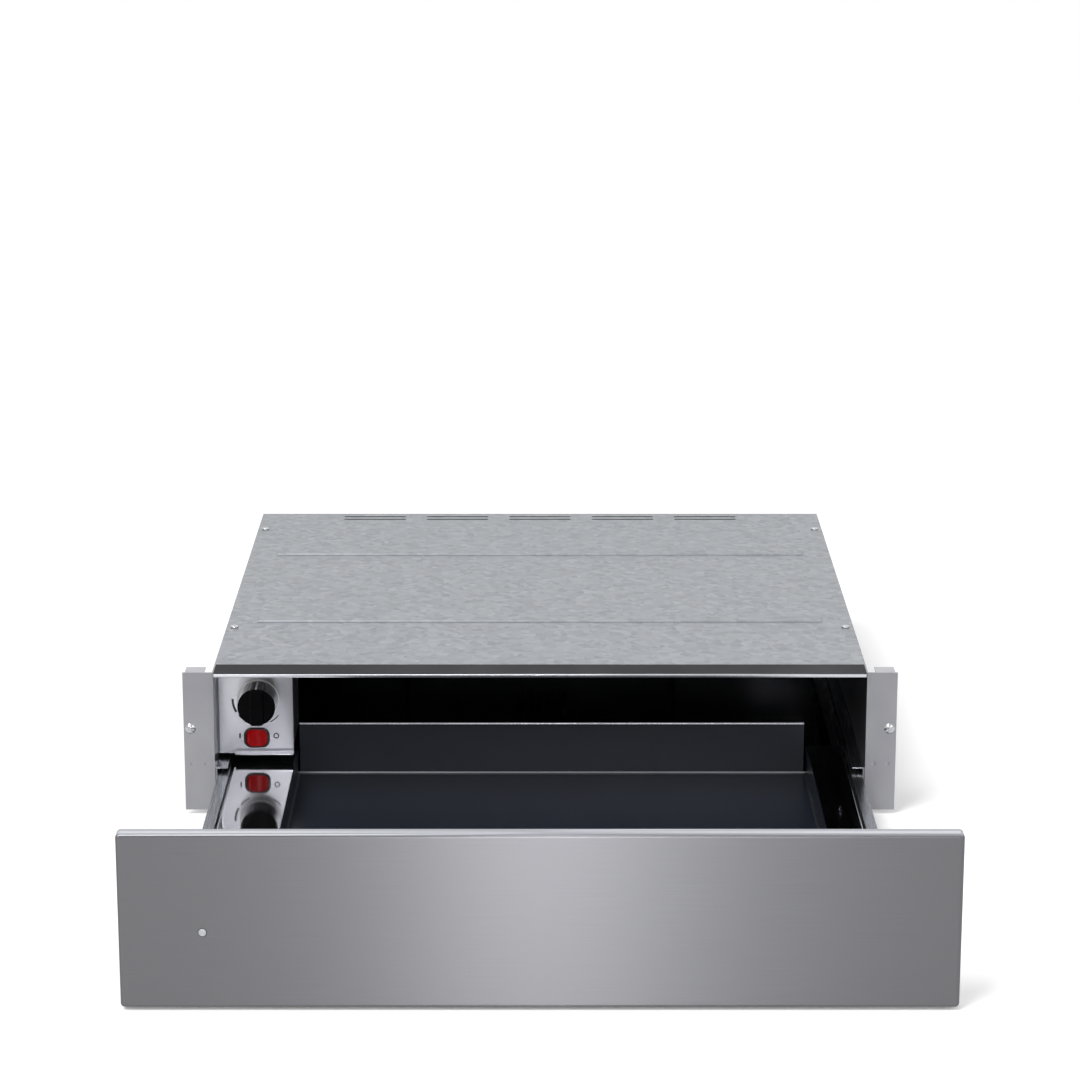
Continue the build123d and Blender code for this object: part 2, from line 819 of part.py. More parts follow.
def control_panel():
    panel = slab(panel_left, panel_right, panel_setback, panel_back, panel_bottom, panel_top)
    panel += slab(panel_right - sheet, panel_right, panel_back, panel_back + panel_return,
                  panel_bottom, panel_top)
    panel -= rod_y(knob_x, knob_z, panel_setback - sheet, panel_back + sheet, shaft_clear_r)
    panel -= switch_block(switch_wall + hole_clear, panel_setback - sheet, panel_back + sheet)
    ledge = slab(panel_left + panel_lip_start, panel_right, panel_setback - panel_lip,
                 panel_setback, panel_bottom, panel_bottom + sheet)
    return panel + ledge


def control_box():
    """A tray of sheet behind the panel, hung from the side wall's upper lip."""
    x0, x1 = -side_in, panel_right - sheet - part_clear
    top = cover_under - sheet
    box = slab(x0, x1, panel_back, box_back, panel_bottom, top)
    box -= slab(x0 + box_sheet, x1 - box_sheet, panel_back - sheet, box_back - box_sheet,
                panel_bottom + box_sheet, top - box_sheet)
    front, back = box_back - 2 * box_sheet, box_back + box_sheet
    box -= rod_y(knob_x, knob_z + capillary_lift, front, back, capillary_r + part_clear)
    box -= rod_y(harness_x, harness_z, front, back, harness_r + hole_clear)
    return box


def knob_ring():
    back, front = panel_setback, panel_setback - ring_height
    ring = rod_y(knob_x, knob_z, front, back, ring_r)
    return ring - rod_y(knob_x, knob_z, front - sheet, back + sheet, ring_r - ring_width)


def thermostat_knob():
    """A body that widens to its rim, with an upright grip bar, bored behind for the shaft."""
    back = panel_setback - knob_gap
    face = back - knob_depth + grip_proud
    outline = Polyline((0, back), (knob_back_r, back), (knob_r, face + knob_rim),
                       (knob_r, face + knob_rim_edge), (knob_r - knob_rim_edge, face), (0, face),
                       close=True)
    body = Pos(knob_x, 0, knob_z) * revolve(make_face(outline), Axis.Y)
    place = Plane(origin=(knob_x, back, knob_z), x_dir=(1, 0, 0), z_dir=(0, -1, 0))
    grip = extrude(place * RectangleRounded(grip_width, 2 * grip_r, grip_corner), knob_depth)
    grip = fillet(grip.faces().sort_by(Axis.Y)[0].edges(), grip_edge_r)
    knob = body + grip
    return knob - rod_y(knob_x, knob_z, back - shaft_in_knob, back + sheet, shaft_r + hole_clear)


def knob_pointer():
    """A raised line along the end of the grip that is at the top when the heat is off."""
    back = panel_setback - knob_gap - pointer_ends
    front = panel_setback - knob_gap - knob_depth + pointer_ends
    top = knob_z + grip_r
    return slab(knob_x - pointer_width / 2, knob_x + pointer_width / 2, front, back, top,
                top + pointer_height)


def knob_shaft():
    start = panel_setback - knob_gap - shaft_in_knob + part_clear
    return rod_y(knob_x, knob_z, start, panel_back + shaft_in_body, shaft_r)


def thermostat_body():
    half = thermostat_size / 2
    body = rounded_slab(knob_x - half, knob_x + half, panel_back, panel_back + thermostat_depth,
                        knob_z - half, knob_z + half, thermostat_corner)
    body -= rod_y(knob_x, knob_z, panel_back - sheet, panel_back + shaft_in_body + part_clear,
                  shaft_r + run_clear)
    return body


def capillary_and_bulb():
    z = knob_z + capillary_lift
    y = partition_y - bulb_stand
    x_bulb = knob_x + capillary_bend * 2
    start = panel_back + thermostat_depth
    tube = tube_along([(knob_x, start, z), (knob_x, y, z), (x_bulb + sheet, y, z)],
                      capillary_bend, capillary_r)
    return tube + rod_x(y, z, x_bulb, x_bulb + bulb_length, bulb_r)


def bulb_clip():
    z = knob_z + capillary_lift
    y = partition_y - bulb_stand
    x = knob_x + capillary_bend * 2 + bulb_length / 2
    half = clip_width / 2
    clip = slab(x - half, x + half, y - bulb_r - sheet, partition_y, z - half, z + half)
    return clip - rod_x(y, z, x - clip_width, x + clip_width, bulb_r + hole_clear)


def rocker_place():
    """The rocker's pivot, an upright axis behind the panel's face."""
    return Pos(rocker_x, panel_setback + rocker_pivot, rocker_z)


def switch_body():
    """Bezel and body in one moulding, with the well that the rocker turns in."""
    front = panel_setback - bezel_depth
    back = panel_setback + switch_depth
    bezel = rounded_slab(rocker_x - bezel_width / 2, rocker_x + bezel_width / 2, front, panel_setback,
                         rocker_z - bezel_height / 2, rocker_z + bezel_height / 2, bezel_corner)
    bezel = fillet(bezel.faces().sort_by(Axis.Y)[0].edges(), bezel_edge_r)
    body = switch_block(switch_wall, panel_setback, back)
    well = switch_block(0, front - sheet, back - 2 * switch_wall)
    return bezel + body - well


def switch_rocker():
    """A barrel about the pivot, dished ahead and rounded at its corners, pressed on its right."""
    face = Plane(origin=(0, -rocker_front, 0), x_dir=(1, 0, 0), z_dir=(0, 1, 0))
    block = extrude(face * RectangleRounded(2 * rocker_r, rocker_height, rocker_corner),
                    rocker_front + rocker_back)
    block = fillet(block.faces().sort_by(Axis.Y)[0].edges(), rocker_edge_r)
    rocker = block & Cylinder(rocker_r, rocker_height)
    dish = Pos(0, rocker_dish - rocker_front - rocker_dish_r, 0) * Cylinder(rocker_dish_r,
                                                                            2 * rocker_height)
    return rocker_place() * (Rot(0, 0, rocker_tilt) * (rocker - dish))


def switch_blades():
    back = panel_setback + switch_depth
    blades = []
    for side in (-1, 1):
        x = rocker_x + side * blade_spread
        blades.append(slab(x - blade_sheet / 2, x + blade_sheet / 2, back, back + blade_length,
                           rocker_z - blade_width / 2, rocker_z + blade_width / 2))
    return group(blades)


# ---- fan, heater and cover plate behind the drawer ----
def fan_corners():
    half = fan_screw_span / 2
    return [(fan_x + sx * half, fan_z + sz * half) for sx in (-1, 1) for sz in (-1, 1)]


def fan_frame():
    half = fan_size / 2
    frame = rounded_slab(fan_x - half, fan_x + half, fan_front, fan_back, fan_z - half,
                         fan_z + half, fan_corner)
    frame -= rod_y(fan_x, fan_z, fan_front - sheet, fan_back + sheet, fan_duct_r)
    reach = fan_duct_r + sheet
    struts = slab(fan_x - reach, fan_x + reach, fan_back - motor_base, fan_back,
                  fan_z - fan_strut / 2, fan_z + fan_strut / 2)
    struts += slab(fan_x - fan_strut / 2, fan_x + fan_strut / 2, fan_back - motor_base, fan_back,
                   fan_z - reach, fan_z + reach)
    struts += rod_y(fan_x, fan_z, fan_back - motor_base, fan_back, hub_r)
    return frame + struts


def fan_standoffs():
    return group(rod_y(x, z, partition_back, fan_front, standoff_r) for x, z in fan_corners())


def fan_motor():
    front = fan_back - motor_base - motor_depth
    motor = rod_y(fan_x, fan_z, front, fan_back - motor_base, motor_r)
    bore = rod_y(fan_x, fan_z, front - sheet, front + fan_shaft_length + part_clear,
                 fan_shaft_r + run_clear)
    return motor - bore


def fan_impeller():
    """A cup over the motor with pitched blades and the shaft in one moulding."""
    motor_front = fan_back - motor_base - motor_depth
    cup_front = motor_front - part_clear - hub_wall
    cup_back = fan_back - motor_base - 2 * part_clear
    cup = rod_y(fan_x, fan_z, cup_front, cup_back, hub_r)
    hollow = rod_y(fan_x, fan_z, cup_front + hub_wall, cup_back + sheet, hub_r - hub_wall)
    length = blade_r - hub_r + hub_wall
    blade = Pos(hub_r - hub_wall / 2 + length / 2, 0, 0) * (Rot(blade_pitch, 0, 0)
            * Box(length, blade_thick, hub_r))
    middle = (cup_front + cup_back) / 2
    blades = [Pos(fan_x, middle, fan_z) * Rot(0, n * 360 / blade_count, 0) * blade
              for n in range(blade_count)]
    rotor = cup
    for one in blades:
        rotor += one
    rotor = rotor & rod_y(fan_x, fan_z, cup_front, cup_back, blade_r)
    shaft = rod_y(fan_x, fan_z, cup_front, motor_front + fan_shaft_length, fan_shaft_r)
    return rotor - hollow + shaft


heater_y = partition_back + heater_stand


def heater_element():
    """A ring of sheathed tube round the fan's inlet with its two legs turned down."""
    place = Pos(fan_x, heater_y, fan_z) * Rot(90, 0, 0)
    start = Plane.XZ * Pos(heater_ring_r, 0) * Circle(heater_r)
    ring = revolve(start, Axis.Z, 360 - 2 * heater_gap)
    ring = place * Rot(0, 0, -90 + heater_gap) * ring
    legs = ring
    gap = math.radians(heater_gap)
    for side in (-1, 1):
        x = fan_x + side * heater_ring_r * math.sin(gap)
        z = fan_z - heater_ring_r * math.cos(gap)
        legs += Pos(x, heater_y, z) * Sphere(heater_r)
        legs += rod_z(x, heater_y, heater_foot, z, heater_r)
    return legs


def heater_clamp():
    x = heater_ring_r * math.sin(math.radians(heater_gap))
    reach = x + heater_r + clamp_margin
    z0 = heater_foot + sheet
    clamp = slab(fan_x - reach, fan_x + reach, partition_back, heater_y + heater_r + sheet,
                 z0, z0 + clamp_height)
    for side in (-1, 1):
        clamp -= rod_z(fan_x + side * x, heater_y, z0 - sheet, z0 + clamp_height + sheet,
                       heater_r + hole_clear)
    return clamp


def fan_cover():
    """A dished plate with a slotted inlet in the middle and outlets at both ends."""
    half = cover_plate_width / 2
    low, high = cover_plate_bottom, cover_plate_bottom + cover_plate_height
    front = partition_y - cover_plate_stand
    plate = rounded_slab(-half, half, front, partition_y, low, high, cover_plate_corner)
    plate = chamfer(plate.faces().sort_by(Axis.Y)[0].edges(), cover_plate_edge)
    plate -= rounded_slab(-half + 2 * cover_plate_stand, half - 2 * cover_plate_stand,
                          front + sheet, partition_y + sheet, low + 2 * cover_plate_stand,
                          high - 2 * cover_plate_stand, cover_plate_corner / 2)
    for middle in (fan_x,) + outlet_columns:
        for n in range(grille_count):
            x = middle + (n - (grille_count - 1) / 2) * grille_pitch
            plate -= slot_y(x, fan_z, front - sheet, partition_y, grille_length, grille_slot)
    return plate


def thermal_cutout():
    body = rod_y(cutout_x, cutout_z, partition_back, partition_back + cutout_depth, cutout_r)
    for side in (-1, 1):
        x = cutout_x + side * cutout_r / 2
        tab = partition_back + cutout_depth
        body += slab(x - blade_sheet / 2, x + blade_sheet / 2, tab, tab + blade_length,
                     cutout_z - blade_width / 2, cutout_z + blade_width / 2)
    return body


# ---- mains side ----
def cable_gland():
    """A gland clamped in the rear wall, bored through for the mains lead."""
    nose = body_depth + gland_flange + gland_nose
    body = rod_y(gland_x, gland_z, rear_in - gland_nut, body_depth + gland_flange, gland_body_r)
    body += rod_y(gland_x, gland_z, body_depth, body_depth + gland_flange, gland_flange_r)
    cap = rod_y(gland_x, gland_z, body_depth + gland_flange, nose, gland_nose_r)
    body += fillet(cap.faces().sort_by(Axis.Y)[-1].edges(), gland_nose_edge)
    return body - rod_y(gland_x, gland_z, rear_in - 2 * gland_nut, nose + sheet, gland_bore_r)


def gland_locknut():
    nut_plane = Plane(origin=(gland_x, rear_in, gland_z), z_dir=(0, -1, 0))
    nut = extrude(nut_plane * RegularPolygon(gland_flange_r, 6), gland_nut)
    return nut - rod_y(gland_x, gland_z, rear_in - 2 * gland_nut, body_depth,
                       gland_body_r + hole_clear)


def terminal_block():
    x0 = block_x - block_width / 2
    block = slab(x0, x0 + block_width, rear_in - block_depth, rear_in, block_z - block_height / 2,
                 block_z + block_height / 2)
    pitch = block_width / block_ways
    for n in range(block_ways):
        x = x0 + pitch * (n + 0.5)
        block -= rod_y(x, block_z, rear_in - block_depth - sheet,
                       rear_in - block_depth + block_hole_depth,
                       block_hole_r)
    return block


def wiring_harness():
    y = rear_in - harness_rear
    x_end = block_x - block_width / 2
    points = [(harness_x, box_back, harness_z), (harness_x, y, harness_z),
              (harness_x, y, block_z), (x_end, y, block_z)]
    return tube_along(points, harness_bend, harness_r)


def harness_grommet():
    inner = harness_r + hole_clear / 2
    outer = harness_r + grommet_wall
    body = rod_y(harness_x, harness_z, partition_y - grommet_flange, partition_back + grommet_flange,
                 outer)
    for y in (partition_y - grommet_flange, partition_back):
        body += rod_y(harness_x, harness_z, y, y + grommet_flange, outer + grommet_flange)
    return body - rod_y(harness_x, harness_z, partition_y - 2 * grommet_flange,
                        partition_back + 2 * grommet_flange, inner)


# ---- push latch behind the right shelf ----
plunger_tip = tray_back + sheet + part_clear


def latch_body():
    half = latch_flange_size / 2
    body = rod_y(latch_x, latch_z, partition_back, partition_back + latch_depth, latch_body_r)
    body += slab(latch_x - half, latch_x + half, partition_back, partition_back + latch_flange,
                 latch_z - half, latch_z + half)
    bore_end = plunger_tip + plunger_length + plunger_stroke + part_clear
    return body - rod_y(latch_x, latch_z, partition_back - sheet, bore_end, plunger_r + run_clear)


def latch_plunger():
    pin = rod_y(latch_x, latch_z, plunger_tip, plunger_tip + plunger_length, plunger_r)
    return fillet(pin.faces().sort_by(Axis.Y)[0].edges(), plunger_edge_r)


# ---- every piece ----
pieces = {
    "chassis_base": chassis_base(),
    "chassis_side_right": chassis_side(),
    "chassis_side_left": other_side(chassis_side()),
    "chassis_cover": chassis_cover(),
    "cover_trim": cover_trim(),
    "chassis_rear": chassis_rear(),
    "rear_partition": rear_partition(),
    "cabinet_screws": cabinet_screws(),
    "cover_screws": cover_screws(),
    "runner_fixed_right": runner_fixed(),
    "runner_fixed_left": other_side(runner_fixed()),
    "runner_middle_right": runner_middle(),
    "runner_middle_left": other_side(runner_middle()),
    "runner_inner_right": runner_inner(),
    "runner_inner_left": other_side(runner_inner()),
    "outer_cage_right": outer_cage(),
    "outer_cage_left": other_side(outer_cage()),
    "inner_cage_right": inner_cage(),
    "inner_cage_left": other_side(inner_cage()),
    "side_rivets": side_rivets(),
    "drawer_rivets": drawer_rivets(),
    "front_skin": front_skin(),
    "front_core": front_core(),
    "front_inner_plate": front_inner_plate(),
    "indicator_lens": indicator_lens(),
    "front_bumpers": front_bumpers(),
    "front_brackets": front_brackets(),
    "front_screws": front_screws(),
    "drawer_tray": drawer_tray(),
    "drawer_back_wall": drawer_back_wall(),
    "shelf_right": shelf_right(),
    "shelf_left": shelf_left(),
    "control_panel": control_panel(),
    "control_box": control_box(),
    "knob_ring": knob_ring(),
    "thermostat_knob": thermostat_knob(),
    "knob_pointer": knob_pointer(),
    "knob_shaft": knob_shaft(),
    "thermostat_body": thermostat_body(),
    "capillary_and_bulb": capillary_and_bulb(),
    "bulb_clip": bulb_clip(),
    "switch_body": switch_body(),
    "switch_rocker": switch_rocker(),
    "switch_blades": switch_blades(),
    "fan_frame": fan_frame(),
    "fan_standoffs": fan_standoffs(),
    "fan_motor": fan_motor(),
    "fan_impeller": fan_impeller(),
    "heater_element": heater_element(),
    "heater_clamp": heater_clamp(),
    "fan_cover": fan_cover(),
    "thermal_cutout": thermal_cutout(),
    "cable_gland": cable_gland(),
    "gland_locknut": gland_locknut(),
    "terminal_block": terminal_block(),
    "wiring_harness": wiring_harness(),
    "harness_grommet": harness_grommet(),
    "latch_body": latch_body(),
    "latch_plunger": latch_plunger(),
}

os.makedirs("parts", exist_ok=True)
for name, piece in pieces.items():
    export_step(piece, f"parts/{name}.step")
print(len(pieces), "pieces written")
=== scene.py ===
"""Looks of the built in warming drawer, dressed round its construction. Metres, X right, Y back, Z up."""
import json
import math

import bmesh
import bpy
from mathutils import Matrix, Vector


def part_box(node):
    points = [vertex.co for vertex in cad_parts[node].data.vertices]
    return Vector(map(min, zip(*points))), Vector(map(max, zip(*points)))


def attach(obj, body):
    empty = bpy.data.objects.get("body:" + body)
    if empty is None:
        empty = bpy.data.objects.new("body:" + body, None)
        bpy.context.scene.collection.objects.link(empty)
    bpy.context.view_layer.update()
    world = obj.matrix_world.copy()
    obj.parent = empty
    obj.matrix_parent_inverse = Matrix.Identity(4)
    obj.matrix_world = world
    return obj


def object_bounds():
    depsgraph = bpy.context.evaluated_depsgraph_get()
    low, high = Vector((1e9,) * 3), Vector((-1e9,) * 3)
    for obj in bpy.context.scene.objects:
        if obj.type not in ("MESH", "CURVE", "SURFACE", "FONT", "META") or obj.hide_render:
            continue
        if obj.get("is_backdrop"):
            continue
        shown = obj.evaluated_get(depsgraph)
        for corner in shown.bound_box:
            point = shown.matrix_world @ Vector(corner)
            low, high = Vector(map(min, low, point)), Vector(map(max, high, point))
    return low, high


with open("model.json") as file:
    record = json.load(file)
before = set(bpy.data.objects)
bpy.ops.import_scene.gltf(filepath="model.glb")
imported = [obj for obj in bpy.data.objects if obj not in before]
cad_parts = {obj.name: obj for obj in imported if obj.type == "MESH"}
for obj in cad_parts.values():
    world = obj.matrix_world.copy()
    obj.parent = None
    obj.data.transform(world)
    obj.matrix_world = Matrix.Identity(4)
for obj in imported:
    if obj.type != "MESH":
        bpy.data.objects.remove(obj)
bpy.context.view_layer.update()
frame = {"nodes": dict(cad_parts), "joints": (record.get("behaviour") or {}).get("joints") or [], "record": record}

MM = 0.001


# ---- helpers for colours and shader nodes ----
def linear(hex_colour):
    """An sRGB hex colour as linear RGBA."""
    values = [int(hex_colour[i:i + 2], 16) / 255 for i in (1, 3, 5)]
    return [v / 12.92 if v <= 0.04045 else ((v + 0.055) / 1.055) ** 2.4 for v in values] + [1.0]


def add_node(tree, kind, settings=None, links=None):
    """Adds a node, sets its properties or inputs, and links its inputs to other nodes' outputs."""
    node = tree.nodes.new(kind)
    for name, value in (settings or {}).items():
        if isinstance(name, str) and hasattr(node, name):
            setattr(node, name, value)
        else:
            node.inputs[name].default_value = value
    for name, output in (links or {}).items():
        tree.links.new(output, node.inputs[name])
    return node


def new_material(name, **sockets):
    """A material with one Principled shader, its constant values set on the shader's own sockets."""
    material = bpy.data.materials.new(name)
    material.use_nodes = True
    shader = material.node_tree.nodes["Principled BSDF"]
    for socket, value in sockets.items():
        shader.inputs[socket.replace("_", " ")].default_value = value
    return material, material.node_tree, shader


def grain(tree, lengths_mm, detail=3.0):
    """Noise on the piece's own place, one blob as long as lengths_mm along X, Y and Z."""
    place = add_node(tree, "ShaderNodeTexCoord")
    scaled = add_node(tree, "ShaderNodeMapping", {"Scale": [1 / (mm * MM) for mm in lengths_mm]},
                      {"Vector": place.outputs["Object"]})
    noise = add_node(tree, "ShaderNodeTexNoise", {"Scale": 1.0, "Detail": detail, "Roughness": 0.6},
                     {"Vector": scaled.outputs["Vector"]})
    return noise.outputs["Fac"]


# how much of a pattern's range is spread from the first value to the second
CLEAR = (0.3, 0.7)         # the middle of a noise, where most of it lies
SOFT = (0.0, 1.0)          # all of it


def finish_surface(tree, shader, colour=None, gloss=None, relief=None, tones=CLEAR, shine=CLEAR):
    """Varies a finish over the piece. Each of the three starts with the pattern that drives it.

    colour: two hex tones, spread by tones. gloss: two roughnesses, spread by shine.
    relief: the depth of the surface's unevenness in mm.
    """
    if colour:
        pattern, first, second = colour
        spread = add_node(tree, "ShaderNodeMapRange", {"From Min": tones[0], "From Max": tones[1]},
                          {"Value": pattern})
        mix = add_node(tree, "ShaderNodeMix", {"data_type": "RGBA", 6: linear(first), 7: linear(second)},
                       {0: spread.outputs["Result"]})
        tree.links.new(mix.outputs[2], shader.inputs["Base Color"])
    if gloss:
        pattern, low, high = gloss
        spread = add_node(tree, "ShaderNodeMapRange", {"From Min": shine[0], "From Max": shine[1],
                                                       "To Min": low, "To Max": high}, {"Value": pattern})
        tree.links.new(spread.outputs["Result"], shader.inputs["Roughness"])
    if relief:
        pattern, depth_mm = relief
        bump = add_node(tree, "ShaderNodeBump", {"Strength": 1.0, "Distance": depth_mm * MM},
                        {"Height": pattern})
        tree.links.new(bump.outputs["Normal"], shader.inputs["Normal"])


# ---- steels ----
def brushed_stainless():
    """Stainless steel linished along its length: fine level hairlines, sheen drawn out upright."""
    material, tree, shader = new_material("stainless_brushed_lengthways", Metallic=1.0, Anisotropic=0.92,
                                          Anisotropic_Rotation=0.25)
    around = add_node(tree, "ShaderNodeTangent", {"direction_type": "RADIAL", "axis": "Z"})
    tree.links.new(around.outputs["Tangent"], shader.inputs["Tangent"])
    hairlines = grain(tree, (70.0, 0.5, 0.28), detail=4.0)
    # painted shade: the face's tone is kept darker than bare stainless, standing in for the darker room it would
    # mirror
    finish_surface(tree, shader, colour=(hairlines, "#646467", "#6a6a6d"), gloss=(hairlines, 0.33, 0.40),
                   relief=(hairlines, 0.003))
    # painted highlight: the tone is lifted towards a pale grey where the sheet faces up, so the folded top edge
    # reads bright
    place = add_node(tree, "ShaderNodeTexCoord")
    normal = add_node(tree, "ShaderNodeSeparateXYZ", links={0: place.outputs["Normal"]})
    painted_top_highlight = add_node(tree, "ShaderNodeMapRange", {"From Min": 0.5, "From Max": 0.9},
                      {"Value": normal.outputs["Z"]})
    face = shader.inputs["Base Color"].links[0].from_socket
    edge = add_node(tree, "ShaderNodeMix", {"data_type": "RGBA", 7: linear("#a2a4aa")},
                    {0: painted_top_highlight.outputs["Result"], 6: face})
    tree.links.new(edge.outputs[2], shader.inputs["Base Color"])
    return material


def satin_stainless():
    """Stainless sheet with a satin mill finish: even, softly grained, faintly clouded."""
    material, tree, shader = new_material("stainless_satin_mill", Metallic=1.0)
    fine = grain(tree, (0.5, 0.5, 14.0))
    cloud = grain(tree, (38.0, 38.0, 60.0), detail=2.0)
    finish_surface(tree, shader, colour=(cloud, "#929297", "#9b9b9f"), gloss=(fine, 0.28, 0.36),
                   relief=(fine, 0.003))
    return material


def mirror_stainless():
    """Stainless sheet polished bright: clear reflections, a slight waviness of the sheet and hairlines."""
    material, tree, shader = new_material("stainless_mirror_polished", Metallic=1.0)
    hairlines = grain(tree, (0.4, 26.0, 26.0))
    waves = grain(tree, (60.0, 85.0, 60.0), detail=1.0)
    finish_surface(tree, shader, colour=(waves, "#b4b4b8", "#c6c6ca"), gloss=(hairlines, 0.035, 0.085),
                   relief=(waves, 0.012))
    return material


def burnished_stainless():
    """Stainless sheet, bead blasted then burnished: bright and soft, blurring what it mirrors."""
    material, tree, shader = new_material("stainless_satin_bright", Metallic=1.0)
    fine = grain(tree, (0.4, 0.4, 0.4))
    cloud = grain(tree, (45.0, 45.0, 45.0), detail=1.0)
    finish_surface(tree, shader, colour=(cloud, "#babac0", "#c8c8ce"), gloss=(fine, 0.24, 0.32),
                   relief=(fine, 0.002))
    return material


def stainless_painted_dark():
    """Stainless sheet, its tone painted dark grey: a deep grey mirror with drawn hairlines, the darkness painted
    shade for the dark surroundings it would mirror, kept dark at the rim too.
    """
    material, tree, shader = new_material("stainless_painted_shade_dark", Metallic=1.0,
                                          Specular_Tint=linear("#b4b4b4"))
    hairlines = grain(tree, (26.0, 26.0, 0.4))
    waves = grain(tree, (70.0, 70.0, 70.0), detail=1.0)
    finish_surface(tree, shader, colour=(waves, "#4e4e51", "#5e5e61"), gloss=(hairlines, 0.05, 0.11),
                   relief=(waves, 0.01))
    return material


def galvanised_sheet():
    """Hot dip galvanised sheet: a patchwork of dull and bright zinc crystals, 6 mm across."""
    material, tree, shader = new_material("steel_galvanised", Metallic=1.0)
    place = add_node(tree, "ShaderNodeTexCoord")
    crystals = add_node(tree, "ShaderNodeTexVoronoi", {"Scale": 1 / (6.0 * MM)},
                        {"Vector": place.outputs["Object"]})
    shades = add_node(tree, "ShaderNodeSeparateColor", links={0: crystals.outputs["Color"]})
    finish_surface(tree, shader, colour=(shades.outputs[0], "#7e8185", "#8b8e92"), tones=SOFT,
                   gloss=(shades.outputs[1], 0.36, 0.48), shine=SOFT,
                   relief=(grain(tree, (1.4, 1.4, 1.4), detail=2.0), 0.01))
    return material


def plated_runner():
    """Rolled steel runner, bright zinc plated: cool, with drawing lines along its length."""
    material, tree, shader = new_material("steel_rolled_zinc_plated", Metallic=1.0)
    lines = grain(tree, (0.3, 60.0, 0.3))
    finish_surface(tree, shader, colour=(lines, "#8f9296", "#b4b7bb"), gloss=(lines, 0.18, 0.32),
                   relief=(lines, 0.006))
    return material


def nickel_plate():
    """Turned steel, nickel plated: small bright highlights, even and cool."""
    material, tree, shader = new_material("steel_nickel_plated", Metallic=1.0)
    fine = grain(tree, (0.6, 0.6, 0.6))
    finish_surface(tree, shader, colour=(fine, "#a6a7aa", "#c0c1c4"), tones=SOFT, gloss=(fine, 0.12, 0.24))
    return material


# ---- other metals, clouded between two tones ----
def bare_metal(name, first, second, low, high):
    material, tree, shader = new_material(name, Metallic=1.0)
    cloud = grain(tree, (9.0, 9.0, 9.0))
    finish_surface(tree, shader, colour=(cloud, first, second), gloss=(cloud, low, high))
    return material


def stamped_brass():
    """Brass strip, stamped: warm yellow, bright where the tool slid."""
    return bare_metal("brass_stamped", "#a8894a", "#cbb070", 0.22, 0.36)


def heated_steel():
    """Steel heater sheath, tinted by its own heat: brown black with a dull shine."""
    return bare_metal("steel_heat_tinted", "#3b342f", "#5d4c3e", 0.3, 0.5)


def drawn_copper():
    """Copper tube, drawn: soft pink shine, slightly browned."""
    return bare_metal("copper_drawn", "#a5664a", "#c68a6b", 0.2, 0.35)


# ---- enamel, ceramic and board ----
def fired_enamel():
    """Vitreous enamel, near black with a blue cast, fired to a soft gloss: deep, with a faint orange peel."""
    material, tree, shader = new_material("enamel_black_blue", IOR=1.48)
    peel = grain(tree, (4.0, 4.0, 4.0), detail=2.0)
    cloud = grain(tree, (90.0, 90.0, 60.0), detail=2.0)
    finish_surface(tree, shader, colour=(cloud, "#161a23", "#1c212b"), tones=SOFT,
                   gloss=(cloud, 0.27, 0.33), shine=SOFT, relief=(peel, 0.004))
    return material


def steatite():
    """Unglazed steatite ceramic, pressed: off white, chalky, finely pitted."""
    material, tree, shader = new_material("steatite_pressed_unglazed", IOR=1.55)
    pits = grain(tree, (0.8, 0.8, 0.8))
    finish_surface(tree, shader, colour=(pits, "#cfcabc", "#e4e0d4"), gloss=(pits, 0.5, 0.7),
                   relief=(pits, 0.03))
    return material


def pressed_board():
    """Pressed fibre board, die cut: pale brown with flecks, no shine."""
    material, tree, shader = new_material("fibre_board_pressed", IOR=1.45)
    flecks = grain(tree, (2.0, 0.7, 0.7), detail=4.0)
    finish_surface(tree, shader, colour=(flecks, "#8f8064", "#b09f80"), gloss=(flecks, 0.8, 0.95),
                   relief=(flecks, 0.05))
    return material


# ---- plastics, rubber and print ----
def deep_black_abs():
    """ABS moulded deep black and polished on the face: a dark disc with small keen highlights."""
    material, tree, shader = new_material("abs_deep_black_polished", IOR=1.46, Specular_IOR_Level=0.07,
                                          Base_Color=linear("#030304"))
    finish_surface(tree, shader, gloss=(grain(tree, (9.0, 9.0, 9.0), detail=2.0), 0.16, 0.24))
    return material


def gloss_black_abs():
    """ABS moulded black against a polished tool: sharp highlights, finger dulled in patches."""
    material, tree, shader = new_material("abs_black_polished", IOR=1.53, Base_Color=linear("#0b0b0d"))
    finish_surface(tree, shader, gloss=(grain(tree, (7.0, 7.0, 7.0)), 0.10, 0.24),
                   relief=(grain(tree, (0.35, 0.35, 0.35)), 0.003))
    return material


def dark_nylon():
    """Glass filled nylon, moulded with a fine spark grain: dull, slightly mottled."""
    material, tree, shader = new_material("nylon_dark_spark_grain", IOR=1.53)
    pits = grain(tree, (0.5, 0.5, 0.5))
    finish_surface(tree, shader, colour=(pits, "#1b1b1e", "#28282b"), gloss=(pits, 0.45, 0.62),
                   relief=(pits, 0.03))
    return material


def red_polycarbonate_painted_glow():
    """Red polycarbonate: a deep, slightly uneven red glow under a faint gloss, the glow an emission that deepens
    the red, a painted glow.
    """
    material, tree, shader = new_material("polycarbonate_red_painted_glow", IOR=1.5, Roughness=0.14,
                                          Specular_IOR_Level=0.12, Emission_Strength=0.38)
    depth = grain(tree, (6.0, 6.0, 6.0), detail=1.0)
    finish_surface(tree, shader, colour=(depth, "#3a0002", "#4c0005"), tones=SOFT)
    glow = add_node(tree, "ShaderNodeMix", {"data_type": "RGBA", 6: linear("#a80003"),
                                            7: linear("#c00006")}, {0: depth})
    tree.links.new(glow.outputs[2], shader.inputs["Emission Color"])
    return material


